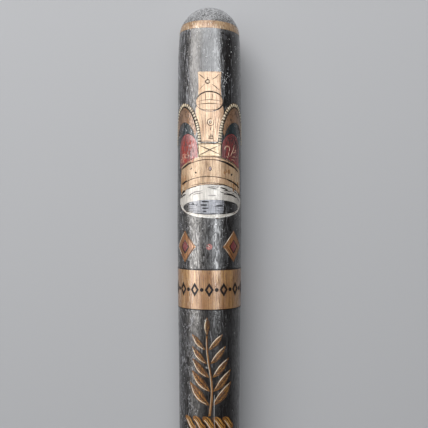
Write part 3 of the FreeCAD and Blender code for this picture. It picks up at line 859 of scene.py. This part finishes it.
white = oil_paint("lead_white", (0.69, 0.645, 0.585), (0.42, 0.385, 0.335), 0.74, 0.5, 0.5)
bright_white = oil_paint("bright_white", (0.84, 0.82, 0.78), (0.6, 0.57, 0.52), 0.76, 0.5, 0.5)
umber = oil_paint("raw_umber", (0.16, 0.085, 0.04), (0.06, 0.028, 0.014), 0.7, 0.05, 0.3)
fur_grey = oil_paint("fur_grey", (0.3, 0.28, 0.26), (0.16, 0.14, 0.13))
reflection_slate = oil_paint("slate_blue", (0.38, 0.39, 0.43), (0.17, 0.175, 0.2), 0.66, 0.2, 0.6)
soot = oil_paint("soot", (0.016, 0.016, 0.02), (0.006, 0.006, 0.008), 0.7, 0.05, 0.1)
ring = "crown_ermine_ring"
give_finish(white, ring)
tails = over(
    ring,
    [(0.21, 0.84), (0.3, 0.79), (0.42, 0.7)],
    [(0.3, 0.45), (0.45, 0.44), (0.6, 0.38), (0.74, 0.24)],
    [(-0.95, 0.26), (-0.86, 0.36), (-0.74, 0.44)],
    [(0.8, 0.52), (0.88, 0.38), (0.93, 0.22)],
)
thin_tails = over(
    ring,
    [(-0.12, 0.84), (0.02, 0.87), (0.19, 0.86)],
    [(-0.06, 0.76), (0.04, 0.77), (0.14, 0.74)],
    [(0.3, 0.64), (0.38, 0.66), (0.48, 0.6)],
    [(0.2, 0.58), (0.28, 0.52), (0.36, 0.5)],
    [(0.62, 0.62), (0.72, 0.54), (0.8, 0.4)],
    [(0.75, 0.3), (0.83, 0.16), (0.88, 0)],
    [(-0.62, 0.36), (-0.58, 0.44), (-0.52, 0.5)],
)
fur_folds = over(
    ring,
    [(-0.62, 0.28), (-0.56, 0.45), (-0.44, 0.58), (-0.24, 0.64)],
    [(-0.5, 0.4), (-0.4, 0.48), (-0.24, 0.52)],
    [(0.46, 0.6), (0.52, 0.66), (0.6, 0.62)],
    [(0.54, 0.54), (0.6, 0.52), (0.66, 0.46)],
    [(0.36, 0.56), (0.44, 0.48), (0.54, 0.44)],
    [(-0.1, 0.36), (0, 0.34), (0.1, 0.35)],
    [(0.8, 0.22), (0.86, 0.12), (0.9, -0.02)],
)
# Painted reflection: slate-blue rows across the mouth stand in for the window mirrored in the varnish.
reflection_rows = [[(-0.62, row), (-0.2, row - 0.01), (0.31, row)] for row in (0.02, -0.11, -0.24, -0.37, -0.5)]
reflection_rows.append([(-0.52, -0.63), (-0.1, -0.65), (0.29, -0.63)])
mouth_painted_reflection = over(ring, *reflection_rows)
dashes = over(
    ring,
    [(-0.29, -0.2), (-0.2, -0.22), (-0.13, -0.2)],
    [(-0.25, -0.4), (-0.17, -0.42), (-0.09, -0.39)],
    [(-0.24, -0.58), (-0.14, -0.59)],
    [(-0.26, -0.01), (-0.18, 0), (-0.08, -0.02)],
    [(0.1, -0.26), (0.28, -0.25)],
    [(-0.52, -0.1), (-0.47, -0.16)],
)
rims = [round_edge(ring, 1, 1, start, start + 26, 8) for start in (12, 42, 72, 108, 141)]
hoop_lights = [round_edge(ring, 0.965, 0.955, start, start + 30, 8) for start in (184, 216, 250, 284, 317)]
hand = random.Random("ermine edge")
freckles = []
for start, end, count in ((184, 232, 16), (232, 308, 8), (308, 356, 20), (20, 60, 8), (150, 172, 6)):
    for freckle in range(count):
        inset = hand.choice((1.0, 0.985, 0.93))
        turn = hand.uniform(start, end)
        freckles.append(round_edge(ring, inset, inset, turn, turn + hand.uniform(1.5, 5), 2))
black_brush("crown_ermine_tails", tails, 0.0012)
black_brush("crown_ermine_rims", rims, 0.0008, lift=paint_thickness / 2)
black_brush("crown_ermine_thin_tails", thin_tails, 0.0007)
brush("crown_ermine_hoop_lights", hoop_lights, 0.0011, bright_white, "white_paint", flatness=0.12)
brush("crown_ermine_freckles", freckles, 0.0007, umber)
brush("crown_ermine_folds", fur_folds, 0.0009, fur_grey, "white_paint")
# The mouth lining strokes are a painted reflection of the window in the varnish.
brush("crown_mouth_lining", mouth_painted_reflection, 0.0024, reflection_slate, lift=0, flatness=0.05)
brush("crown_ermine_dashes", dashes, 0.0011, soot, lift=0.00007, flatness=0.1)


# ---- side devices and stop
# A gilt lozenge on either side of a red stop, each with a red heart. Cream lights along the edges that
# face the light and glaze along the others make the lozenges look raised.

orange_gilt = gilding("orange_gilding", (0.5, 0.235, 0.075), (0.2, 0.07, 0.02), 0.68, 0.1, 0.7)
pink = oil_paint("pink_lake", (0.46, 0.13, 0.11), (0.2, 0.03, 0.03), 0.58)
for side in ("left", "right"):
    device = "side_device_" + side
    give_finish(orange_gilt, device)
    give_finish(red, "device_core_" + side)
    lit_edges = over(device, [(-0.9, 0.03), (-0.5, 0.47), (-0.04, 0.92)], [(-0.86, -0.08), (-0.45, -0.5)])
    shaded_edges = over(
        device,
        [(0.04, 0.92), (0.5, 0.46), (0.9, 0), (0.5, -0.46), (0.03, -0.92)],
        [(-0.44, 0), (0, -0.47), (0.44, 0)],
        [(-0.66, 0.02), (-0.2, -0.55), (0, -0.74)],
    )
    cream_brush("side_device_lights_" + side, lit_edges, 0.0005)
    glaze_brush("side_device_shades_" + side, shaded_edges, 0.0006)
give_finish(pink, "centre_stop")
stop_lights = over("centre_stop", [(-0.5, 0.5), (0.1, 0.2), (0.45, -0.2)], [(-0.3, -0.3), (0.1, -0.6)])
cream_brush("centre_stop_lights", stop_lights, 0.0005)


# ---- middle band and its chain
# A broad gold band right round the belly, edged with fine pale and black lines, with a chain of black
# lozenges and dots along its middle. The gold is thin in streaks along the grain, and pitted.

round_steps = 36
deep_streak_count = 60
pale_streak_count = 30
pit_count = 190

band_gilt = gilding("band_gilding", (0.53, 0.3, 0.115), (0.25, 0.11, 0.037), 0.68, metal=0.06)
sienna = gilding("burnt_sienna", (0.2, 0.075, 0.022), (0.09, 0.03, 0.01), 0.66)
give_finish(band_gilt, "middle_band")
give_finish(black, "band_chain")
band_middle, band_half = flat_box("middle_band")
half_hoop = math.pi * wood_radius(band_middle.y)
full_turn = [half_hoop * (2 * step / round_steps - 1) for step in range(round_steps + 1)]
for name, line_brush, inset, width in (
    ("middle_band_upper_line", cream_brush, 0.0004, 0.0004),
    ("middle_band_lower_line", cream_brush, 0.0237, 0.0004),
    ("middle_band_lower_shade", black_brush, 0.0247, 0.0008),
    ("middle_band_upper_shade", black_brush, -0.0006, 0.0006),
):
    height = band_middle.y + band_half.y - inset
    hoop = [Vector((across, height)) for across in full_turn]
    line_brush(name, [hoop], width, lift=paint_thickness / 2)

hand = random.Random("band streaks")
band_streaks = []
for streak in range(deep_streak_count + pale_streak_count):
    across = hand.uniform(-half_hoop, half_hoop)
    start = band_middle.y + band_half.y * hand.uniform(-0.9, 0.6)
    length = min(hand.uniform(0.003, 0.012), band_middle.y + band_half.y * 0.93 - start)
    band_streaks.append(dab(across, start, length, hand.uniform(-0.0003, 0.0003)))
deep_streaks = band_streaks[:deep_streak_count]
pale_streaks = band_streaks[deep_streak_count:]
pits = []
for pit in range(pit_count):
    across = hand.uniform(-half_hoop, half_hoop)
    start = band_middle.y + band_half.y * hand.uniform(-0.94, 0.9)
    pits.append(dab(across, start, hand.uniform(0.0004, 0.0016)))
brush("middle_band_streaks", deep_streaks, 0.0005, sienna, "gilt", smoothness=1)
cream_brush("middle_band_pale_streaks", pale_streaks, 0.00022, smoothness=1)
black_brush("middle_band_pits", pits, 0.0004, smoothness=1)


# ---- leaf spray
# A sprig painted in brown gold. Each leaf has its veins drawn in glaze, dabs of ochre and brown between
# them, and a broad cream light along the edge that faces the light. The stem has such a light too.

def patches(node):
    """The flat places of the corners of each separate patch of a painted layer."""
    bpy.ops.object.select_all(action="DESELECT")
    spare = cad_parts[node].copy()
    spare.data = spare.data.copy()
    bpy.context.collection.objects.link(spare)
    bpy.context.view_layer.objects.active = spare
    spare.select_set(True)
    bpy.ops.object.mode_set(mode="EDIT")
    bpy.ops.mesh.select_all(action="SELECT")
    bpy.ops.mesh.remove_doubles(threshold=merge_distance)
    bpy.ops.mesh.separate(type="LOOSE")
    bpy.ops.object.mode_set(mode="OBJECT")
    found = []
    for patch in list(bpy.context.selected_objects):
        found.append([flat_place(vertex.co) for vertex in patch.data.vertices])
        bpy.data.objects.remove(patch)
    return sorted(found, key=lambda spots: (round(spots[0].y, 5), round(spots[0].x, 5)))


def spine(spots):
    """Foot, point, sideways direction, bend and half-width of a long patch, which stands on its foot."""
    pairs = ((a, b) for a in spots[::3] for b in spots[::3])
    foot, point = sorted(max(pairs, key=lambda pair: (pair[0] - pair[1]).length), key=lambda spot: spot.y)
    length = (point - foot).length
    ahead = (point - foot) / length
    aside = Vector((-ahead.y, ahead.x))
    middle = [spot - foot for spot in spots if abs((spot - foot).dot(ahead) / length - 0.5) < 0.12]
    waist = [spot.dot(aside) for spot in middle]
    return foot, point, aside, (max(waist) + min(waist)) / 2, (max(waist) - min(waist)) / 2


def leaf_line(leaf, *places):
    """A stroke on a leaf, through shares of its length and half-widths to the left of its midrib."""
    foot, point, aside, bend, width = leaf
    stroke = []
    for share, out in places:
        full = math.sin(math.pi * share)
        stroke.append(foot.lerp(point, share) + aside * (bend * full + out * width * full))
    return stroke


def down_leaf(leaf, out, *shares):
    """A stroke along a leaf that keeps so many half-widths to the left of its midrib."""
    return leaf_line(leaf, *((share, out) for share in shares))


leaf_gilt = gilding("leaf_gilding", (0.5, 0.23, 0.055), (0.16, 0.058, 0.013), 0.66, 0.1, 0.1)
ochre = oil_paint("yellow_ochre", (0.68, 0.4, 0.09), (0.36, 0.17, 0.03), 0.74, 0.05, 0.2)
ochre_brush = functools.partial(brush, paint=ochre, slot="gilt")
give_finish(leaf_gilt, "spray_stem", "spray_leaves")
ochre_share = 0.55
hand = random.Random("leaf dabs")
midribs, barbs, leaf_lights, leaf_shades, outlines, brown_dabs, ochre_dabs = ([] for kind in range(7))
for spots in patches("spray_leaves"):
    leaf = spine(spots)
    foot, point, aside = leaf[:3]
    lit = 1 if aside.x < 0 or aside.y > 0.8 else -1
    midribs.append(down_leaf(leaf, 0, 0.03, 0.3, 0.6, 0.93))
    leaf_lights.append(down_leaf(leaf, lit * 0.8, 0.1, 0.3, 0.5, 0.7, 0.92))
    leaf_shades.append(down_leaf(leaf, -lit * 0.86, 0.12, 0.35, 0.6, 0.9))
    for out in (1.05, -1.05):
        outlines.append(down_leaf(leaf, out, 0.02, 0.25, 0.5, 0.75, 0.98))
    for share in (0.14, 0.26, 0.38, 0.5, 0.62, 0.74):
        barbs.append(leaf_line(leaf, (share, 0), (share + 0.09, lit * 0.45), (share + 0.15, lit * 0.8)))
        barbs.append(leaf_line(leaf, (share, 0), (share + 0.1, -lit * 0.45), (share + 0.16, -lit * 0.8)))
    for share in (0.2, 0.33, 0.46, 0.58, 0.7):
        for out in (-0.55, 0.2, 0.5):
            place = (share + hand.uniform(-0.05, 0.05), out + hand.uniform(-0.15, 0.15))
            start = leaf_line(leaf, place)[0]
            group = ochre_dabs if hand.random() < ochre_share else brown_dabs
            group.append([start, start + (point - foot) * hand.uniform(0.05, 0.1)])
black_brush("spray_outlines", outlines, 0.0006, lift=paint_thickness / 2)
glaze_brush("spray_midribs", midribs, 0.0007)
glaze_brush("spray_barbs", barbs, 0.00055)
brush("spray_flecks", brown_dabs, 0.0007, sienna, "gilt")
ochre_brush("spray_dabs", ochre_dabs, 0.0005)
cream_brush("spray_leaf_lights", leaf_lights, 0.00065)
glaze_brush("spray_leaf_shades", leaf_shades, 0.0007)

stem_steps = 12
stem_reach = 0.003
stem_end = 0.95
stem_light_aside = Vector((0.0003, 0))
stem_spots = patches("spray_stem")[0]
stem_middle, stem_half = flat_box("spray_stem")
stem_light = []
for step in range(stem_steps + 1):
    height = stem_middle.y + stem_half.y * stem_end * (2 * step / stem_steps - 1)
    near = [spot.x for spot in stem_spots if abs(spot.y - height) < stem_reach]
    stem_light.append(Vector(((min(near) + max(near)) / 2, height)) - stem_light_aside)
cream_brush("spray_stem_light", [stem_light], 0.0004)


# ---- twisted wreath
# The spray stands on a wreath of two twisted skeins, painted in the same brown gold. Fine cream, ochre
# and glaze strokes follow the lie of each turn, and black parts one turn from the next.

turn_sway = 0.22


def turn_line(turn, out):
    """A stroke along one turn of the wreath, so many half-widths from its middle, that sways across it."""
    foot, point, aside, bend, width = turn
    start = 0.1 + 0.12 * abs(out)
    stroke = []
    for share in (start, 0.3, 0.5, 0.7, 1 - start):
        side = out + turn_sway * math.sin(2 * math.pi * share)
        stroke.append(foot.lerp(point, share) + aside * (bend + side * width))
    return stroke


give_finish(leaf_gilt, "twisted_wreath")
turns = [spine(spots) for spots in patches("twisted_wreath")]
for name, line_brush, width, outs in (
    ("twisted_wreath_rims", black_brush, 0.0009, (0.98, -0.98)),
    ("twisted_wreath_shades", glaze_brush, 0.0006, (-0.2,)),
    ("twisted_wreath_dabs", ochre_brush, 0.0006, (0.12, -0.48)),
    ("twisted_wreath_lights", cream_brush, 0.0007, (0.5,)),
):
    line_brush(name, [turn_line(turn, out) for turn in turns for out in outs], width)


# ---- wear
# Knocks and handling: grey hairline scratches and dapples, dull grooves along the grain, pale specks where
# the varnish has gone, and one long scratch up from the wreath. They are thickest down the left side,
# where the grey dapples are partly a painted highlight, standing in for the window light breaking on the
# varnish.

ring_clear_width = 0.019
ring_clear_foot = 0.306
ring_clear_top = 0.321
half_round = math.pi * throat_radius


def scatter(seed, count, left, right, foot, top, shortest, longest, lean=0.08):
    """Random short strokes along the grain, from left to right of the top line, clear of the ermine ring."""
    hand = random.Random(seed)
    strokes = []
    for number in range(count):
        across = hand.uniform(left, right)
        station = hand.uniform(foot, top)
        length = hand.uniform(shortest, longest)
        stroke = dab(across, butt_y + station, length, hand.gauss(0, lean) * length)
        if abs(across) > ring_clear_width or not ring_clear_foot < station < ring_clear_top:
            strokes.append(stroke)
    return strokes


worn_grey_and_highlight = oil_paint("worn_grey_and_highlight", (0.46, 0.46, 0.49), (0.16, 0.16, 0.18), 0.6, 0.4, 0.3)
worn_white = oil_paint("worn_white", (0.8, 0.8, 0.79), (0.45, 0.45, 0.45), 0.66, 0.4, 0.3)
dull_black = oil_paint("dull_black", (0.014, 0.013, 0.014), (0.006, 0.0055, 0.006), 0.66, 0.3, 0)
grooves = (
    ("grooves left", 170, -0.024, -0.008, 0.16, 0.306, 0.001, 0.0055, 0.1),
    ("grooves right", 80, -0.001, 0.009, 0.16, 0.306, 0.001, 0.0055, 0.1),
    ("grooves by tip", 60, -0.024, -0.01, 0.378, 0.424, 0.001, 0.0045, 0.1),
)
# Partly painted highlight: the grey dapples gather down the left side, where the window light breaks.
dapples_and_highlight = (
    ("dapples low left", 220, -0.033, -0.01, 0.16, 0.262, 0.0006, 0.0026, 0.35),
    ("dapples left", 70, -0.031, -0.012, 0.262, 0.4, 0.0006, 0.0026, 0.3),
    ("dapples all round", 60, -half_round, 0.008, 0.16, 0.4, 0.0006, 0.002, 0.3),
)
hairlines = (
    ("all round", 130, -half_round, 0.008, 0.158, 0.398, 0.0015, 0.006),
    ("right side", 12, 0.008, 0.028, 0.158, 0.398, 0.0015, 0.006),
    ("underneath", 60, 0.028, half_round, 0.158, 0.398, 0.0015, 0.006),
    ("left of the tip", 110, -0.03, -0.011, 0.37, 0.426, 0.0015, 0.007, 0.15),
    ("tip", 60, -half_round, half_round, 0.4, 0.424, 0.0015, 0.005),
    ("left side", 170, -0.03, -0.011, 0.175, 0.4, 0.0015, 0.006),
    ("right shoulder", 16, 0.007, 0.019, 0.386, 0.402, 0.001, 0.003, 0.5),
)
specks = (
    ("specks all round", 45, -half_round, half_round, 0.16, 0.4, 0.0003, 0.0007, 0.5),
    ("specks on tip", 60, -0.03, 0.03, 0.405, 0.436, 0.0003, 0.0008, 0.8),
    ("specks left", 95, -0.03, -0.01, 0.16, 0.405, 0.0003, 0.001, 0.5),
    ("specks right shoulder", 16, 0.006, 0.014, 0.392, 0.402, 0.0004, 0.001, 0.8),
)
for name, paint, places, width, lift in (
    ("worn_grooves", dull_black, grooves, 0.0004, 0.00002),
    ("worn_dapples", worn_grey_and_highlight, dapples_and_highlight, 0.0007, 0.00003),
    ("worn_hairlines", worn_grey_and_highlight, hairlines, 0.0004, 0.00003),
    ("worn_specks", worn_white, specks, 0.0006, 0.00003),
):
    strokes = [stroke for place in places for stroke in scatter(*place)]
    brush(name, strokes, width, paint, "ebonised_wood", lift=lift, smoothness=1)
long_scratch = about(Vector((0, butt_y)), (0.0034, 0.174), (0.003, 0.184), (0.0033, 0.1965))
brush("long_scratch", [long_scratch], 0.0003, worn_white, "ebonised_wood", lift=0.00016)
